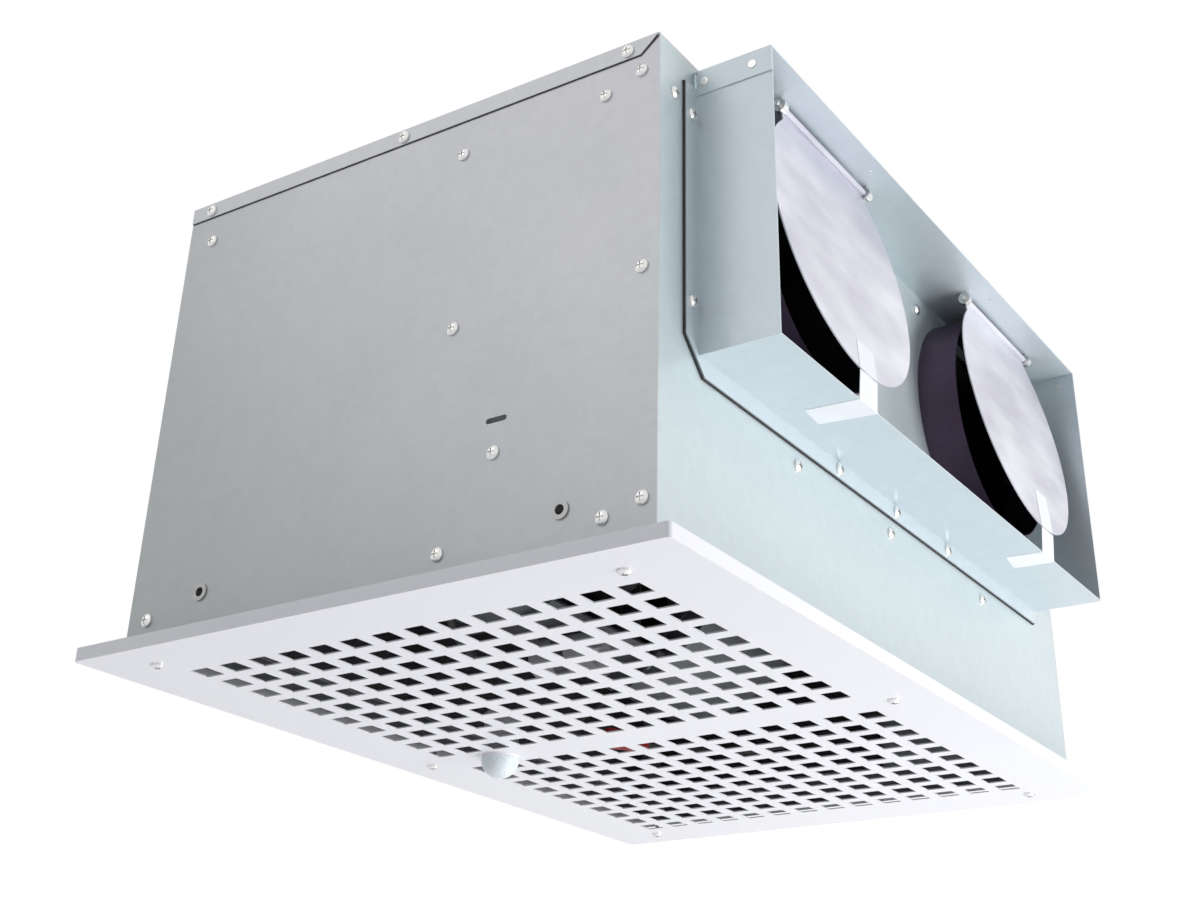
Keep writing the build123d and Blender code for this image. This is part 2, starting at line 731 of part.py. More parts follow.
def rubber_rings():
    start = boss_reach - rubber_width - 0.5
    return [tube(motor_axis(end * start), (0, end, 0), rubber_radius, boss_radius, rubber_width)
            for end in (-1, 1)]


bolt_places = [(blower_x + dx, base_z - screw_head - liner_gap) for dx in (-22, 22)]


def motor_bolt_drills():
    tools = []
    for side in (-1, 1):
        inner = blower_y - scroll_half - base_sheet
        tools += [drum((x, side * (inner - 2), z), (0, side, 0), drill, 8) for x, z in bolt_places]
    return tools


def motor_base():
    reach = blower_y - scroll_half
    x0, x1 = blower_x - base_half_x, blower_x + base_half_x
    pieces = [slab(x0, x1, -reach, reach, base_z, base_z + base_sheet)]
    for side in (-1, 1):
        y0, y1 = sorted((side * (reach - base_sheet), side * reach))
        pieces.append(slab(x0, x1, y0, y1, base_z - base_flange, base_z + base_sheet))
        yoke = boss_reach - rubber_width + 1
        y0, y1 = sorted((side * yoke, side * (yoke + 3)))
        pieces.append(slab(blower_x - 30, blower_x + 30, y0, y1, base_z, blower_z))
        pieces.append(drum(motor_axis(y0), (0, 1, 0), 30, 3))
    whole = joined(pieces)
    tools = motor_bolt_drills()
    for side in (-1, 1):
        tools.append(drum(motor_axis(side * 50), (0, side, 0), rubber_radius, 30))
    return cut(whole, tools)


def capacitor():
    can = drum((blower_x - 32, 0, base_z - 17), (1, 0, 0), 17, 62)
    ends = can.edges().filter_by(GeomType.CIRCLE)
    can = fillet(ends, 2.0)
    for dy in (-6, 6):
        can += slab(blower_x + 29, blower_x + 37, dy - 3, dy + 3, base_z - 18, base_z - 17.2)
    return can


def capacitor_strap():
    x0 = blower_x - 8
    band = tube((x0, 0, base_z - 17), (1, 0, 0), 18.1, 17.1, 12)
    band -= slab(x0 - 1, x0 + 13, -30, 30, base_z - 17, base_z + 5)
    for side in (-1, 1):
        y0, y1 = sorted((side * 17.1, side * 18.1))
        band += slab(x0, x0 + 12, y0, y1, base_z - 17, base_z)
        y0, y1 = sorted((side * 17.1, side * 28))
        band += slab(x0, x0 + 12, y0, y1, base_z - sheet, base_z)
    return band


# Occupancy sensor through the grille's middle bar
def sensor_body():
    face = -grille_depth
    body = drum((sensor_x, 0, face), (0, 0, -1), sensor_flange, 2.5)
    body += drum((sensor_x, 0, face), (0, 0, 1), sensor_barrel, 10)
    body += drum((sensor_x, 0, face + 10), (0, 0, 1), sensor_can, can_height)
    body -= drum((sensor_x, 0, face - 3), (0, 0, 1), 7.5, 12)
    return body


def sensor_dome():
    base = -grille_depth - 2.5
    outer = Pos(sensor_x, 0, base) * Sphere(dome_radius)
    inner = Pos(sensor_x, 0, base) * Sphere(dome_radius - dome_wall)
    below = slab(sensor_x - 30, sensor_x + 30, -30, 30, base - 40, base)
    return (outer - inner) & below


def sensor_nut():
    face = -grille_depth + sheet
    nut = extrude(RegularPolygon(14.5, 6), 4.5)
    nut = Pos(sensor_x, 0, face) * nut
    return nut - drum((sensor_x, 0, face - 1), (0, 0, 1), sensor_barrel + 0.1, 10)


# Wiring box on the right panel, relay box on the left one, leads between them
def wiring_box():
    y0, y1 = inner_y - box_depth, inner_y
    box = slab(box_x0, box_x1, y0, y1, box_z0, box_z1)
    box -= slab(box_x0 + sheet, box_x1 - sheet, y0 - 1, y1 - sheet, box_z0 + sheet, box_z1 - sheet)
    tools = holes([(knockout_x, half_y, knockout_z)], (0, 1, 0), knockout_radius, 8)
    tools += holes(side_points(side_places, 1), (0, 1, 0), drill, 14)
    return cut(box, tools)


def wiring_cover():
    y1 = inner_y - box_depth
    plate = slab(box_x0, box_x1, y1 - sheet, y1, box_z0, box_z1)
    rim = slab(box_x0 + 1.2, box_x1 - 1.2, y1, y1 + 4, box_z0 + 1.2, box_z1 - 1.2)
    rim -= slab(box_x0 + 2.2, box_x1 - 2.2, y1 - 1, y1 + 5, box_z0 + 2.2, box_z1 - 2.2)
    return plate + rim


def relay_box():
    y0, y1 = -inner_y, -inner_y + 36
    body = slab(box_x0 - 2, box_x0 - 2 + relay_length, y0, y1, box_z0, box_z1)
    body = fillet(body.edges().filter_by(Axis.Y), 3.0)
    return cut(body, holes(side_points(side_places, -1), (0, -1, 0), drill, 16))


def lead(name, points):
    """A round lead: straight runs joined by arcs as large as the two runs beside each allow."""
    route = [Vector(*p) for p in points]
    runs = [b - a for a, b in zip(route, route[1:])]
    radii = []
    for one, two in zip(runs, runs[1:]):
        half_turn = math.radians(one.get_angle(two)) / 2
        radii.append(0.45 * min(one.length, two.length) / math.tan(half_turn))
    path = FilletPolyline(*route, radius=radii)
    section = Plane(origin=path @ 0, z_dir=path % 0) * Circle(lead_radius)
    body = sweep(section, path)
    share = body.volume / (math.pi * lead_radius ** 2 * path.length)
    print(name, "length", round(path.length), "radii", [round(r) for r in radii], "volume", round(share, 4))
    return body


plug_start = Vector(-92.0, 78.0, 17.0)
plug_end = Vector(-72.0, 112.0, 17.0)
plug_way = (plug_end - plug_start).normalized()


def sensor_lead():
    top = -grille_depth + 10 + can_height
    return lead("sensor lead", [(sensor_x, 0, top), (sensor_x, 0, top + 20), (sensor_x + 12, -34, top + 30),
                                (-104, -100, 46), (-66, -170, 38), (-18, -240, 42), (22, -292, 58),
                                (46, -inner_y + 28, 76), (box_x0 - 2, -inner_y + 28, 76)])


def motor_lead():
    start = (blower_x + motor_radius, 20.0, blower_z)
    before = plug_start - plug_way * 36
    after = plug_end + plug_way * 36
    first = lead("motor lead", [start, (10, 20, blower_z), (20, 16, 150), (14, 14, 84), (-8, 4, 40),
                                (-60, 6, 19), tuple(before), tuple(plug_start)])
    wall_y = inner_y - box_depth / 2
    second = lead("box lead", [tuple(plug_end), tuple(after), (-30, 216, 26), (4, 280, 48),
                               (34, wall_y, 76), (box_x0, wall_y, 76)])
    return [first, second]


def motor_plug():
    length = (plug_end - plug_start).length
    place = Plane(origin=plug_start, x_dir=plug_way.cross(Vector(0, 0, 1)), z_dir=plug_way).location
    halves = []
    for z0, z1, wide in ((0, length * 0.52, 22), (length * 0.52, length, 19)):
        block = Pos(0, 0, (z0 + z1) / 2) * Box(wide, 13, z1 - z0)
        halves.append(place * fillet(block.edges().filter_by(Axis.Z), 2.0))
    return halves


def rivet_nut(point, direction):
    out = Vector(*direction)
    start = Vector(*point)
    nut = tube(start, direction, nut_flange, nut_bore, 1.2)
    nut += tube(start, -out, nut_body, nut_bore, nut_length)
    return nut


def hood_rivet():
    head = Pos(0, 0, 0) * (drum((0, 0, 0), (0, 0, 1), rivet_head, 0.7))
    head = fillet(head.edges().group_by(Axis.Z)[-1], 0.5)
    stem = drum((0, 0, 0), (0, 0, -1), rivet_shank, 3.2)
    tail = drum((0, 0, -2 * sheet), (0, 0, -1), rivet_head - 0.8, 1.2)
    return head + stem + tail - drum((0, 0, 5), (0, 0, -1), 0.9, 4.5)


def clip_nuts():
    clips = []
    for x, y in grille_places:
        clip = Pos(x, y, sheet + 1.5) * Box(13, 13, 3)
        clips.append(clip - drum((x, y, -1), (0, 0, 1), screw_shank + 0.03, 12))
    return clips


for word, side in sides.items():
    write(f"side_panel_{word}", side_panel(side))
    write(f"collar_{word}", collar(side))
    write(f"flap_{word}", flap(side))
    write(f"flap_tape_{word}", flap_tape(side))
    write(f"scroll_wrap_{word}", scroll_wrap(side))
    write(f"scroll_sides_{word}", scroll_sides(side))
    write(f"impeller_{word}", impeller(side))

write("hinge_rods", [hinge_rod(side) for side in (-1, 1)])
write("hood_tapes", [hood_tape(side) for side in (-1, 1)])
write("liner_sides", liners(-1) + liners(1))
write("inlet_rings", inlet_rings(-1) + inlet_rings(1))
write("top_cover", top_cover())
write("outlet_end_panel", outlet_end_panel())
write("back_end_panel", back_end_panel())
write("bottom_frame", bottom_frame())
write("grille", grille())
write("hood_wrap", hood_wrap())
write("hood_gasket", hood_gasket())
write("hood_top", hood_top())
write("hinge_eyes", hinge_eyes())
write("bulkhead", bulkhead())
write("plenum_floor", plenum_floor())
write("liner_back", liner_back())
write("liner_top", liner_top())
write("motor_shaft", drum(motor_axis(-shaft_reach), (0, 1, 0), shaft_radius, 2 * shaft_reach))
write("motor_core", motor_core())
write("set_screws", set_screws())
write("motor_shell", motor_shell())
write("motor_stator", motor_stator())
write("motor_caps", motor_caps())
write("motor_bearings", motor_bearings())
write("rubber_rings", rubber_rings())
write("motor_base", motor_base())
write("capacitor", capacitor())
write("capacitor_strap", capacitor_strap())
write("sensor_body", sensor_body())
write("sensor_dome", sensor_dome())
write("sensor_nut", sensor_nut())
write("wiring_box", wiring_box())
write("wiring_cover", wiring_cover())
write("relay_box", relay_box())
write("sensor_lead", sensor_lead())
write("motor_lead", motor_lead())
write("motor_plug", motor_plug())
write("clip_nuts", clip_nuts())

panel_screw = pan_screw(screw_head, screw_height, screw_shank, screw_length)
grille_screw = pan_screw(screw_head, screw_height, screw_shank, grille_depth + 6)
short_screw = pan_screw(screw_head, screw_height, screw_shank, 5.5)

lip_screws, side_screws, hangers, rivets = [], [], [], []
for side in (-1, 1):
    lip_screws += placed(panel_screw, side_points(lip_places, side, half_y + sheet), (0, side, 0))
    side_screws += placed(panel_screw, side_points(side_places, side), (0, side, 0))
    hangers += [rivet_nut(p, (0, side, 0))
                for p in side_points([(-hanger_x, hanger_z), (hanger_x, hanger_z)], side)]
    rivets += placed(hood_rivet(), side_points(rivet_places, side, hood_y + sheet), (0, side, 0))
write("lip_screws", lip_screws)
write("side_screws", side_screws)
write("hanger_nuts", hangers)
write("hood_rivets", rivets)
write("end_screws", placed(panel_screw, [(half_x, y, z) for y, z in outlet_places], (1, 0, 0))
      + placed(panel_screw, [(-half_x, y, z) for y, z in back_places], (-1, 0, 0)))
write("flange_screws", placed(panel_screw, [(flange_x + sheet, y, z) for y, z in flange_places],
                              (1, 0, 0)))
write("grille_screws", placed(grille_screw, [(x, y, -grille_depth) for x, y in grille_places],
                              (0, 0, -1)))
bolts = placed(panel_screw, [(bulkhead_x - sheet, y, z) for y, z in bulkhead_places], (-1, 0, 0))
for side in (-1, 1):
    seat = blower_y - scroll_half - base_sheet
    bolts += placed(short_screw, [(x, side * seat, z) for x, z in bolt_places], (0, -side, 0))
write("scroll_screws", bolts)
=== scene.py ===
# %% [markdown]
# # Ceiling ventilation fan
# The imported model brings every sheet, screw, blade and lead at its size and place. This notebook
# dresses them: each node gets a finish made of shader nodes, the foam boards get forms of their own, and
# a camera, soft lamps and a pale floor show the fan from below, as it hangs.

# %% Load the frame
import math

import bmesh
import bpy
from mathutils import Matrix, Vector, noise


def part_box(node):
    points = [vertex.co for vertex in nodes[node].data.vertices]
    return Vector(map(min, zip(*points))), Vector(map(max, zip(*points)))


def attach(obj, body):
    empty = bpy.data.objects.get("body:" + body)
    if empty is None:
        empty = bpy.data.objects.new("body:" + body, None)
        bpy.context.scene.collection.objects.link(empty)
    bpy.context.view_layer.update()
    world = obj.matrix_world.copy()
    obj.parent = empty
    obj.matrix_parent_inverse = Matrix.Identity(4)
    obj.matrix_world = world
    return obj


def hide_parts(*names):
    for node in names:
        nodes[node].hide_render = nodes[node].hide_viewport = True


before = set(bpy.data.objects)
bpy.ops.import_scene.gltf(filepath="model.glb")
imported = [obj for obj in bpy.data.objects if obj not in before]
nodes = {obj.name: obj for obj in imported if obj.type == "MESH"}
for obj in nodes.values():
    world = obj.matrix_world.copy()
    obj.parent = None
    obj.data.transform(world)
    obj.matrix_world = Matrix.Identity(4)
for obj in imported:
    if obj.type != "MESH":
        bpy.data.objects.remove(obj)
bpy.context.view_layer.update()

# %% [markdown]
# ## Shader maths as expressions
# A finish varies over a surface, so it needs sums and products of textures. Wiring Math nodes by hand
# is slow to read. A small class that wraps one output socket and overloads the operators lets a finish
# be written as a formula: `0.4 + 0.1 * clouds` adds the two Math nodes by itself.


# %% Sockets and finishes
class Wave:
    """One output socket of a finish; arithmetic on it adds Math nodes."""

    def __init__(self, finish, socket):
        self.finish = finish
        self.socket = socket

    def math(self, operation, *values):
        return self.finish.add("ShaderNodeMath", {"operation": operation}, dict(enumerate(values)))

    def __add__(self, other):
        return self.math("ADD", self, other)

    def __radd__(self, other):
        return self.math("ADD", other, self)

    def __sub__(self, other):
        return self.math("SUBTRACT", self, other)

    def __rsub__(self, other):
        return self.math("SUBTRACT", other, self)

    def __mul__(self, other):
        return self.math("MULTIPLY", self, other)

    def __rmul__(self, other):
        return self.math("MULTIPLY", other, self)

    def __truediv__(self, other):
        return self.math("DIVIDE", self, other)

    def __rtruediv__(self, other):
        return self.math("DIVIDE", other, self)

    def __pow__(self, other):
        return self.math("POWER", self, other)

    def clamped(self):
        return self.math("MAXIMUM", self.math("MINIMUM", self, 1.0), 0.0)


class Finish:
    """A material, and the one method that adds nodes to it."""

    def __init__(self, name, **values):
        self.material = bpy.data.materials.new(name)
        self.material.use_nodes = True
        self.tree = self.material.node_tree
        self.shader = self.tree.nodes["Principled BSDF"]
        for key, value in values.items():
            self.feed(key.replace("_", " ").title().replace("Ior", "IOR"), value)

    def feed(self, socket_name, value):
        socket = self.shader.inputs[socket_name]
        if isinstance(value, Wave):
            self.tree.links.new(value.socket, socket)
        else:
            socket.default_value = value

    def add(self, kind, settings=None, inputs=None, output=0):
        node = self.tree.nodes.new(kind)
        for key, value in (settings or {}).items():
            if key == "stops":
                ramp = node.color_ramp
                while len(ramp.elements) < len(value):
                    ramp.elements.new(0.5)
                for element, (place, colour) in zip(ramp.elements, value):
                    element.position = place
                    element.color = (*colour, 1)
            else:
                setattr(node, key, value)
        for key, value in (inputs or {}).items():
            if isinstance(value, Wave):
                self.tree.links.new(value.socket, node.inputs[key])
            else:
                node.inputs[key].default_value = value
        return Wave(self, node.outputs[output])

    def here(self):
        """The point on the piece, in metres."""
        return self.add("ShaderNodeTexCoord", output="Object")

    def along(self, axis):
        return self.add("ShaderNodeSeparateXYZ", {}, {0: self.here()}, output="XYZ".index(axis))

    def clouds(self, size, detail=3.0, stretch=(1, 1, 1)):
        """Soft noise from 0 to 1 whose patches are about size metres across."""
        point = self.add("ShaderNodeMapping", {}, {"Vector": self.here(), "Scale": stretch})
        return self.add("ShaderNodeTexNoise", {}, {"Vector": point, "Scale": 1 / size, "Detail": detail})

    def mix(self, factor, one, two):
        """Colour one where the factor is 0, colour two where it is 1."""
        inputs = {0: factor}
        for index, colour in ((6, one), (7, two)):
            inputs[index] = colour if isinstance(colour, Wave) else (*colour, 1)
        return self.add("ShaderNodeMix", {"data_type": "RGBA"}, inputs, output=2)

    def math_max(self, one, two):
        return one.math("MAXIMUM", one, two)

    def bump(self, height, distance, strength=1.0):
        inputs = {"Height": height, "Distance": distance, "Strength": strength}
        self.feed("Normal", self.add("ShaderNodeBump", {}, inputs))

    def dress(self, *names):
        """Puts this finish on nodes; a name without its side means both sides."""
        for name in names:
            for node in (name, name + "_left", name + "_right"):
                if node in nodes:
                    nodes[node].data.materials.clear()
                    nodes[node].data.materials.append(self.material)
                    dressed[node] = self.material.name


class Sky(Finish):
    """The world's shader, wired with the same method."""

    def __init__(self, name):
        world = bpy.data.worlds.new(name)
        bpy.context.scene.world = world
        world.use_nodes = True
        self.tree = world.node_tree
        self.tree.nodes.remove(self.tree.nodes["Background"])

    def light(self, colour, strength):
        return self.add("ShaderNodeBackground", {}, {"Color": (*colour, 1), "Strength": strength})

    def show(self, shader):
        self.tree.links.new(shader.socket, self.tree.nodes["World Output"].inputs["Surface"])


def seen_ray(finish):
    """1 for rays from the camera, from a reflection or through a lens, and 0 for the rest."""
    camera, glossy, clear = (finish.add("ShaderNodeLightPath", output=f"Is {word} Ray")
                             for word in ("Camera", "Glossy", "Transmission"))
    return finish.math_max(finish.math_max(camera, glossy), clear)


dressed = {}


# %% [markdown]
# ## Galvanised sheet
# The casing is bent from zinc-coated steel. Fresh zinc is a satin metal with a bluish grey tone, very
# faint crystals, soft clouds where the coil was rolled, and a fine grain. A Voronoi texture gives each
# crystal its own brightness, noise gives the clouds, and a stretched noise gives the rolling grain.
# The panels are made with the same function, with a tone for each coil of sheet. Two tones are
# painted light instead: the side panel gets a painted shade that darkens it towards its bottom and its
# back end, and the collar's near-black purple tone is a painted reflection of dark surroundings.


# %% Galvanised finishes
def galvanised(name, tone, low=None, grain_axis=(1, 14, 14), metal=0.55, rough=0.36):
    finish = Finish(name, metallic=metal)
    crystals = finish.add("ShaderNodeTexVoronoi", {}, {"Vector": finish.here(), "Scale": 130.0}, output=1)
    crystal = finish.add("ShaderNodeSeparateColor", {}, {0: crystals})
    cloud = finish.clouds(0.16, 4.0)
    grain = finish.clouds(0.03, 6.0, grain_axis)
    shade = 0.94 + 0.05 * crystal + 0.08 * (cloud - 0.5) + 0.05 * (grain - 0.5)
    colour = finish.mix(shade.clamped(), tuple(0.3 * c for c in tone), tone)
    # Painted shade: the low tone is mixed in towards the bottom and the back end of the piece, by its
    # place.
    if low:
        x, z = finish.along("X"), finish.along("Z")
        painted_shade = (0.70 - 1.3 * x - 1.6 * z + 0.6 * (cloud - 0.5)).clamped()
        painted_shade_tone = finish.mix(shade.clamped(), tuple(0.3 * c for c in low), low)
        colour = finish.mix(0.75 * painted_shade, colour, painted_shade_tone)
    finish.feed("Base Color", colour)
    finish.feed("Roughness", rough + 0.10 * (cloud - 0.5) + 0.10 * (grain - 0.5))
    finish.bump(grain + 0.4 * crystal, 0.00006, 0.6)
    return finish


# The side panel's low tone is a painted shade, greener and darker towards its bottom and back end.
side_sheet = galvanised("side_sheet", (0.60, 0.60, 0.63), low=(0.38, 0.42, 0.41), metal=0.35)
end_sheet = galvanised("end_sheet", (0.60, 0.68, 0.70), grain_axis=(14, 1, 14), metal=0.35)
hood_sheet = galvanised("hood_sheet", (0.62, 0.69, 0.73), grain_axis=(14, 1, 14), metal=0.35)
inner_sheet = galvanised("inner_sheet", (0.30, 0.31, 0.33), metal=0.6)
cover_sheet = galvanised("cover_sheet", (0.60, 0.61, 0.63), metal=0.35)
# Painted reflection: the collar's zinc gets a near-black purple tone that stands for the dark surroundings
# it reflects.
collar_painted_reflection = galvanised("collar_painted_reflection", (0.075, 0.045, 0.085), metal=0.5, rough=0.3)

side_sheet.dress("side_panel")
end_sheet.dress("outlet_end_panel")
hood_sheet.dress("hood_wrap", "hood_top")
cover_sheet.dress("top_cover", "back_end_panel")
collar_painted_reflection.dress("collar")
inner_sheet.dress("bottom_frame", "bulkhead", "plenum_floor", "scroll_wrap", "scroll_sides",
                  "inlet_rings", "impeller", "motor_base", "capacitor_strap", "wiring_box", "wiring_cover")

# %% [markdown]
# ## Flaps
# The backdraft flaps are thin pale sheet. They are so thin that they are never quite flat, so the light
# runs over them in soft waves. Slow noise in the bump gives those waves without changing the outline, and
# the same noise paints them into the colour as a painted reflection, lighter and darker bands on the flap.

# %% Flap finish
flap_sheet = Finish("flap_sheet", metallic=0.35)
slow = flap_sheet.clouds(0.11, 1.5, (1, 1, 1.8))
ripple = flap_sheet.clouds(0.045, 2.0, (1, 0.7, 2.4))
# Painted reflection: the slow waves and ripples also lighten and darken the flap's colour, as light
# running over it.
painted_flap_reflection = (0.5 + 2.2 * (slow - 0.5) + 1.3 * (ripple - 0.5)).clamped()
flap_sheet.feed("Base Color", flap_sheet.mix(painted_flap_reflection, (0.55, 0.54, 0.62), (0.80, 0.80, 0.86)))
flap_sheet.feed("Roughness", 0.24 + 0.12 * slow + 0.05 * ripple)
flap_sheet.bump(slow + 0.3 * ripple, 0.004, 0.8)
flap_sheet.dress("flap")

# %% [markdown]
# ## White powder coat
# The grille is painted with powder that melts into a satin skin with a slight orange peel. It is
# nearly white with a touch of lavender, and wide soft noise makes some patches a little warmer. Small
# noise makes the peel in the bump and moves the roughness a little.

# %% Grille finish
white_coat = Finish("white_coat", coat_weight=0.25, coat_roughness=0.2, metallic=0.0)
peel = white_coat.clouds(0.0022, 2.0)
drift = white_coat.clouds(0.25, 2.0)
white_coat.feed("Base Color", white_coat.mix(drift, (0.80, 0.80, 0.845), (0.84, 0.84, 0.86)))
white_coat.feed("Roughness", 0.30 + 0.08 * peel + 0.08 * (drift - 0.5))
white_coat.bump(peel, 0.00008, 0.5)
white_coat.dress("grille")

# %% [markdown]
# ## Screws, rivets and rods
# The screws are zinc plated and bright, with a faint yellow and blue bloom. The finish is a clean metal
# with small smudges in its roughness. Rivets, hinge rods, hinge eyes and clips share it. The rivet nuts
# for the hangers are duller and darker, so they get their own.

# %% Bright zinc
zinc = Finish("bright_zinc", metallic=0.95)
bloom = zinc.clouds(0.006, 2.0)
smudge = zinc.clouds(0.0015, 4.0)
zinc.feed("Base Color", zinc.mix(bloom, (0.74, 0.74, 0.76), (0.80, 0.79, 0.74)))
zinc.feed("Roughness", 0.20 + 0.18 * smudge)
zinc.bump(smudge, 0.00004, 0.5)
zinc.dress("lip_screws", "side_screws", "end_screws", "flange_screws", "grille_screws",
           "scroll_screws", "hood_rivets", "set_screws", "hinge_rods", "hinge_eyes", "clip_nuts")

dull_zinc = Finish("dull_zinc", metallic=0.9)
stain = dull_zinc.clouds(0.003, 4.0)
dull_zinc.feed("Base Color", dull_zinc.mix(stain, (0.30, 0.30, 0.31), (0.46, 0.46, 0.45)))
dull_zinc.feed("Roughness", 0.35 + 0.2 * stain)
dull_zinc.bump(stain, 0.00006, 0.5)
dull_zinc.dress("hanger_nuts")

# %% [markdown]
# ## Motor
# The motor inside is black enamel over a steel shell, with turned steel at the shaft and bearings and
# a stack of thin laminations between. The stack is drawn by a wave texture along the shaft.

# %% Motor finishes
enamel = Finish("black_enamel", metallic=0.1)
pits = enamel.clouds(0.003, 3.0)
enamel.feed("Base Color", enamel.mix(pits, (0.02, 0.02, 0.022), (0.05, 0.05, 0.055)))
enamel.feed("Roughness", 0.32 + 0.2 * pits)
enamel.bump(pits, 0.0001, 0.5)
enamel.dress("motor_shell", "motor_caps")

turned = Finish("turned_steel", metallic=1.0)
rings = turned.clouds(0.002, 3.0, (0.05, 1, 0.05))
turned.feed("Base Color", turned.mix(rings, (0.50, 0.50, 0.52), (0.62, 0.62, 0.63)))
turned.feed("Roughness", 0.2 + 0.2 * rings)
turned.dress("motor_shaft", "motor_bearings")

stack = Finish("laminations", metallic=0.8)
layers = stack.add("ShaderNodeTexWave", {"bands_direction": "Y"}, {"Vector": stack.here(), "Scale": 320.0})
rust = stack.clouds(0.01, 4.0)
edges = (0.6 * layers + 0.4 * rust).clamped()
stack.feed("Base Color", stack.mix(edges, (0.16, 0.15, 0.14), (0.36, 0.35, 0.34)))
stack.feed("Roughness", 0.4 + 0.2 * rust)
stack.bump(layers, 0.0002, 0.6)
stack.dress("motor_stator", "motor_core")

# %% [markdown]
# ## Rubber and plastic
# Leads and rubber rings are matte black with a dusty bloom. The sensor is white moulded plastic, and
# its dome is a milky lens that scatters light, with small facets in its bump. The plug on the
# motor's lead is red. The tapes are bare white film with a soft sheen.

# %% Rubber, plastics and film
rubber = Finish("black_rubber", metallic=0.0)
dust = rubber.clouds(0.008, 5.0)
rubber.feed("Base Color", rubber.mix(dust, (0.012, 0.012, 0.013), (0.045, 0.045, 0.045)))
rubber.feed("Roughness", 0.5 + 0.25 * dust)
rubber.bump(dust, 0.0001, 0.4)
rubber.dress("rubber_rings", "sensor_lead", "motor_lead")


def moulded(name, light, dark, rough, peel_size=0.0015):
    finish = Finish(name, metallic=0.0, coat_weight=0.1)
    skin = finish.clouds(peel_size, 2.0)
    blush = finish.clouds(0.02, 2.0)
    finish.feed("Base Color", finish.mix(blush, light, dark))
    finish.feed("Roughness", rough + 0.1 * skin)
    finish.bump(skin, 0.00005, 0.5)
    return finish


moulded("white_moulding", (0.86, 0.86, 0.88), (0.80, 0.80, 0.82), 0.3).dress(
    "sensor_body", "sensor_nut", "capacitor", "relay_box")
moulded("red_moulding", (0.72, 0.05, 0.05), (0.60, 0.03, 0.04), 0.3).dress("motor_plug")
moulded("white_film", (0.86, 0.87, 0.90), (0.80, 0.81, 0.85), 0.35, 0.004).dress("flap_tape", "hood_tapes")

lens = Finish("milky_lens", metallic=0.0, transmission_weight=0.08, ior=1.45, subsurface_weight=0.2)
facets = lens.add("ShaderNodeTexVoronoi", {}, {"Vector": lens.here(), "Scale": 420.0})
lens.feed("Base Color", lens.mix(lens.clouds(0.01, 2.0), (0.86, 0.86, 0.88), (0.93, 0.93, 0.94)))
lens.feed("Roughness", 0.25 + 0.1 * facets)
lens.bump(facets, 0.0004, 0.4)
lens.dress("sensor_dome")

# %% [markdown]
# ## Acoustic boards and the gasket
# Dark foam boards are glued inside the casing, and a foam strip seals the hood. A board is cut from a
# sheet of foam, so its face is flat but never sharp: the edges are soft and the skin is uneven. Each is
# a box with rounded edges, divided finely and pushed in and out by noise of well under a millimetre.

# %% Foam finish
foam = Finish("dark_foam", metallic=0.0)
cells = foam.add("ShaderNodeTexVoronoi", {}, {"Vector": foam.here(), "Scale": 650.0})
tufts = foam.clouds(0.006, 5.0)
pores = (0.6 * cells + 0.4 * tufts).clamped()
foam.feed("Base Color", foam.mix(pores, (0.012, 0.012, 0.014), (0.06, 0.06, 0.065)))
foam.feed("Roughness", 0.85 + 0.1 * tufts)
foam.bump(cells + tufts, 0.0006, 0.8)
foam.dress("hood_gasket", "liner_sides", "liner_back", "liner_top")


# %% Foam boards
def islands(piece):
    """The boxes of a node's separate solids, as (low, high) corners."""
    mesh = bmesh.new()
    mesh.from_mesh(piece.data)
    bmesh.ops.remove_doubles(mesh, verts=mesh.verts, dist=1e-6)
    left = set(mesh.verts)
    boxes = []
    while left:
        group, edge = set(), [left.pop()]
        while edge:
            vert = edge.pop()
            group.add(vert)
            for link in vert.link_edges:
                other = link.other_vert(vert)
                if other in left:
                    left.discard(other)
                    edge.append(other)
        spans = [[f(v.co[i] for v in group) for i in range(3)] for f in (min, max)]
        boxes.append((Vector(spans[0]), Vector(spans[1])))
    mesh.free()
    return boxes


cell = 0.012
soft_edge = 0.0018
skin_inset = 0.0005


def board(name, low, high):
    """A foam block: rounded edges, faces divided by the cell size and slightly uneven."""
    mesh = bmesh.new()
    size = high - low
    bmesh.ops.create_cube(mesh, size=1.0)
    place = Matrix.Translation((low + high) / 2) @ Matrix.Diagonal((*size, 1))
    bmesh.ops.transform(mesh, matrix=place, verts=mesh.verts)
    for axis in range(3):
        count = int(size[axis] / cell)
        for k in range(1, count):
            point = low.copy()
            point[axis] += size[axis] * k / count
            normal = Vector((0, 0, 0))
            normal[axis] = 1
            parts = mesh.verts[:] + mesh.edges[:] + mesh.faces[:]
            bmesh.ops.bisect_plane(mesh, geom=parts, plane_co=point, plane_no=normal)
    sharp = [e for e in mesh.edges if e.calc_face_angle(0) > 1]
    bmesh.ops.bevel(mesh, geom=sharp, offset=soft_edge, segments=2, profile=0.5, affect="EDGES")
    for vert in mesh.verts:
        sway = 0.0004 * noise.noise(vert.co * 40) + 0.0002 * noise.noise(vert.co * 160)
        vert.co -= vert.normal * (skin_inset + sway)
    data = bpy.data.meshes.new(name)
    mesh.to_mesh(data)
    mesh.free()
    data.shade_smooth()
    piece = bpy.data.objects.new(name, data)
    bpy.context.scene.collection.objects.link(piece)
    data.materials.append(foam.material)
    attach(piece, "casing")
    return piece


for node in ("liner_sides", "liner_back", "liner_top"):
    for number, (low, high) in enumerate(islands(nodes[node])):
        piece = board(f"{node}_board_{number}", low, high)
        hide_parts(node)
    print(node, "boards", number + 1)

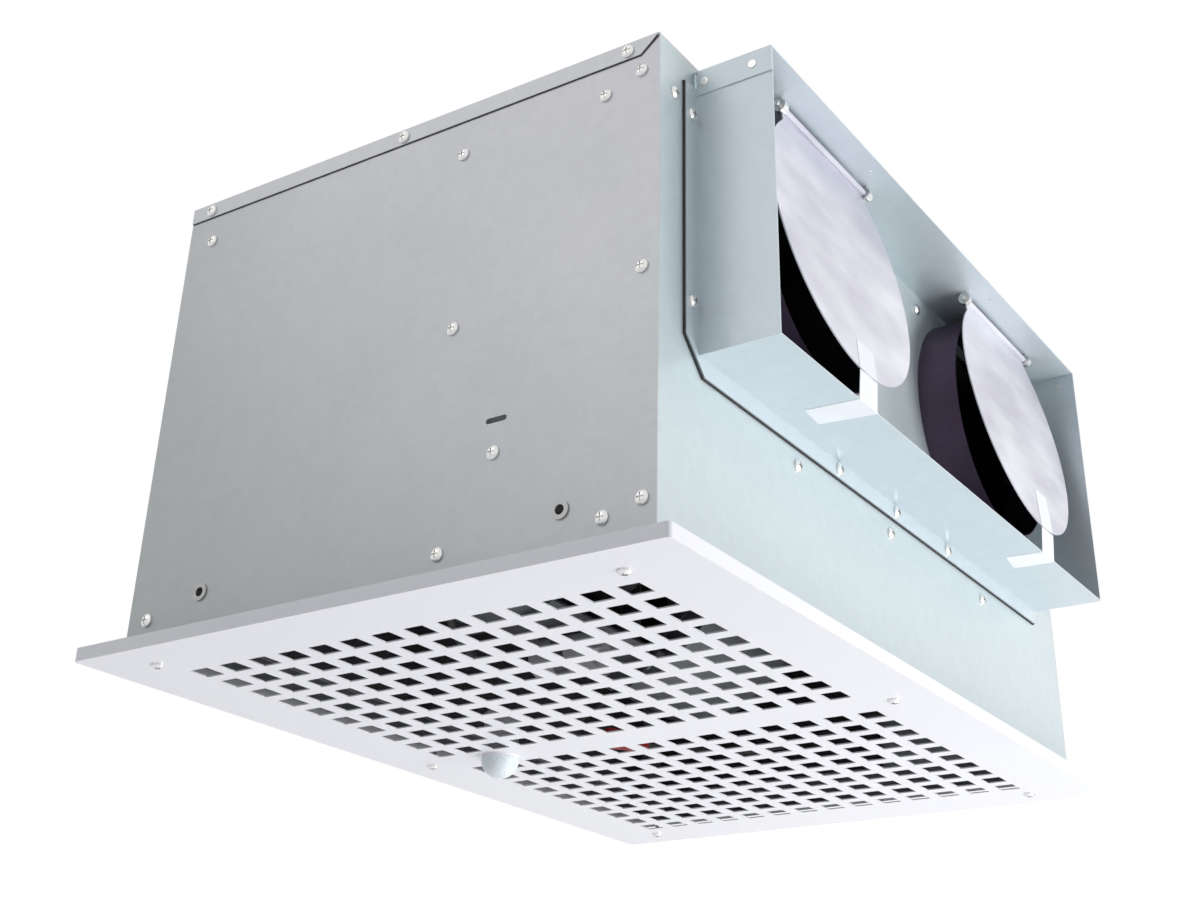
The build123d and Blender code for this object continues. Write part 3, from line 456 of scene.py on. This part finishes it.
# %% [markdown]
# ## Painted shadow under the lips
# A thin dark strip lies in the joint where the top cover's lip lies over each side panel: a painted
# shadow for the shadow gap below the lip. It is about a millimetre wide, and it reads as the fine dark
# line below the lip, slanted at the outlet end where the lip is cut. A thin round mesh follows the lip's
# edge from corner to corner.

# %% Painted shadow strips under the lips
# Painted shadow: this dark finish stands for the shadow in the gap under the lip.
lip_shadow_paint = Finish("painted_lip_shadow", metallic=0.0)
shadow_mottle = lip_shadow_paint.clouds(0.004, 3.0)
lip_shadow_paint.feed("Base Color", lip_shadow_paint.mix(shadow_mottle, (0.02, 0.02, 0.022), (0.06, 0.06, 0.065)))
lip_shadow_paint.feed("Roughness", 0.45 + 0.2 * shadow_mottle)
lip_shadow_paint.bump(shadow_mottle, 0.0002, 0.4)


strip_radius = 0.0006
strip_step = 0.006
strip_sides = 8


def shadow_strip(name, points):
    """A thin dark strip along straight stretches, a little thicker and thinner as it goes: a painted
    shadow.
    """
    rows = []
    for start, end in zip(points, points[1:]):
        start, end = Vector(start), Vector(end)
        count = max(2, int((end - start).length / strip_step))
        rows += [start.lerp(end, k / count) for k in range(count)]
    rows.append(Vector(points[-1]))
    mesh = bmesh.new()
    rings = []
    for number, point in enumerate(rows):
        ahead = (rows[min(number + 1, len(rows) - 1)] - rows[max(number - 1, 0)]).normalized()
        side = ahead.cross(Vector((0, 1, 0))).normalized()
        out = side.cross(ahead).normalized()
        size = strip_radius * (1 + 0.25 * noise.noise(point * 90))
        ring = [mesh.verts.new(point + size * (math.cos(a) * side + math.sin(a) * out))
                for a in [math.tau * k / strip_sides for k in range(strip_sides)]]
        rings.append(ring)
    for one, two in zip(rings, rings[1:]):
        for k in range(strip_sides):
            after = (k + 1) % strip_sides
            mesh.faces.new((one[k], one[after], two[after], two[k]))
    mesh.faces.new(rings[0][::-1])
    mesh.faces.new(rings[-1])
    bmesh.ops.recalc_face_normals(mesh, faces=mesh.faces)
    data = bpy.data.meshes.new(name)
    mesh.to_mesh(data)
    mesh.free()
    data.shade_smooth()
    data.materials.append(lip_shadow_paint.material)
    piece = bpy.data.objects.new(name, data)
    bpy.context.scene.collection.objects.link(piece)
    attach(piece, "casing")


mitre = 0.0150
cover_low, cover_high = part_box("top_cover")
# Painted shadow: one dark strip under the lip's edge on each side.
for word, side in (("left", -1), ("right", 1)):
    y = side * (abs(cover_low[1]) - 0.0007)
    edge = cover_low[2] - 0.0003
    shadow_strip(f"lip_painted_shadow_{word}", [(cover_low[0] + 0.001, y, edge), (cover_high[0] - mitre, y, edge),
                                 (cover_high[0] - 0.001, y, cover_high[2] - 0.0022)])

# %% [markdown]
# ## Other small work
# Nothing else needs a new form: the screws have their crosses, the impellers their blades and the
# leads their bends in the frame itself. A last look makes sure that no node was left in plain grey.

# %% Check the finishes
plain = sorted(name for name in nodes if name not in dressed)
print("dressed", len(dressed), "plain", plain)

# %% [markdown]
# ## Floor, world and lamps
# The fan is shown on white, seen from below. A pale floor stands well under the camera and glows a
# little where it is seen, so that it stays pale. The world gives even light, and shows pure white to
# the camera, to reflections and through lenses. The lamps aren't seen by the camera themselves. A wide
# lamp from the hood's side and one from below lift the end face and the grille, as in the picture, and
# one overhead keeps the cover and the back readable from the other sides.

# %% Floor
floor_mesh = bpy.data.meshes.new("floor")
reach, ground = 6.0, -1.3
floor_mesh.from_pydata([(-reach, -reach, ground), (reach, -reach, ground), (reach, reach, ground),
                        (-reach, reach, ground)], [], [(0, 1, 2, 3)])
floor = bpy.data.objects.new("floor", floor_mesh)
bpy.context.scene.collection.objects.link(floor)
floor_paint = Finish("floor_paint", roughness=0.9)
patches = floor_paint.clouds(0.8, 2.0)
floor_paint.feed("Base Color", floor_paint.mix(patches, (0.86, 0.86, 0.87), (0.89, 0.89, 0.89)))
glow = floor_paint.mix(seen_ray(floor_paint), (0.0, 0.0, 0.0), (0.33, 0.335, 0.35))
floor_paint.feed("Emission Color", glow)
floor_paint.feed("Emission Strength", 1.0)
floor_mesh.materials.append(floor_paint.material)

# %% World
sky = Sky("studio")
even = sky.light((0.95, 0.97, 1.0), 0.42)
white = sky.light((1, 1, 1), 1.0)
sky.show(sky.add("ShaderNodeMixShader", {}, {0: seen_ray(sky), 1: even, 2: white}))


# %% Lamps
def lamp(name, place, target, size, power):
    data = bpy.data.lights.new(name, "AREA")
    data.shape = "DISK"
    data.size = size
    data.energy = power
    piece = bpy.data.objects.new(name, data)
    place, target = Vector(place), Vector(target)
    aim = (target - place).to_track_quat("-Z", "Y").to_matrix().to_4x4()
    piece.matrix_world = Matrix.Translation(place) @ aim
    piece.visible_camera = False
    bpy.context.scene.collection.objects.link(piece)


lamp("hood_side", (2.6, 0.6, -0.3), (0.2, 0.0, 0.2), 1.5, 42.0)
lamp("below", (0.5, 0.5, -1.25), (0.0, 0.0, 0.0), 1.4, 17.0)
lamp("above", (-1.0, -2.2, 1.6), (0.0, 0.0, 0.2), 1.8, 6.0)
lamp("overhead", (-1.3, 1.3, 2.2), (0.0, 0.0, 0.3), 2.2, 34.0)

# %% [markdown]
# ## Camera
# The camera hangs low beside the fan's near corner and looks up at it. Its place and turn come from
# matching corners of the casing, hood and grille and the middles of the grille's holes with their
# places in the picture: a lens of about 50 mm on a 36 mm film. The three rows below are the camera's
# right, up and back directions.

# %% Camera
camera_data = bpy.data.cameras.new("camera")
camera_data.sensor_width = 36.0
camera_data.lens = 50.35
camera_data.shift_x = 0.0
camera_data.shift_y = -0.1203
camera_data.clip_start = 0.01
camera = bpy.data.objects.new("camera", camera_data)
right = Vector((0.83317398, 0.55254941, 0.02258892))
up = Vector((0.24756943, -0.4092056, 0.87821418))
back_way = Vector((0.49450024, -0.72611289, -0.4777338))
turn = Matrix((right, up, back_way)).transposed().to_4x4()
camera.matrix_world = Matrix.Translation((0.7184, -1.1340, -0.3504)) @ turn
bpy.context.scene.collection.objects.link(camera)
bpy.context.scene.camera = camera
bpy.context.scene.view_settings.view_transform = "Standard"
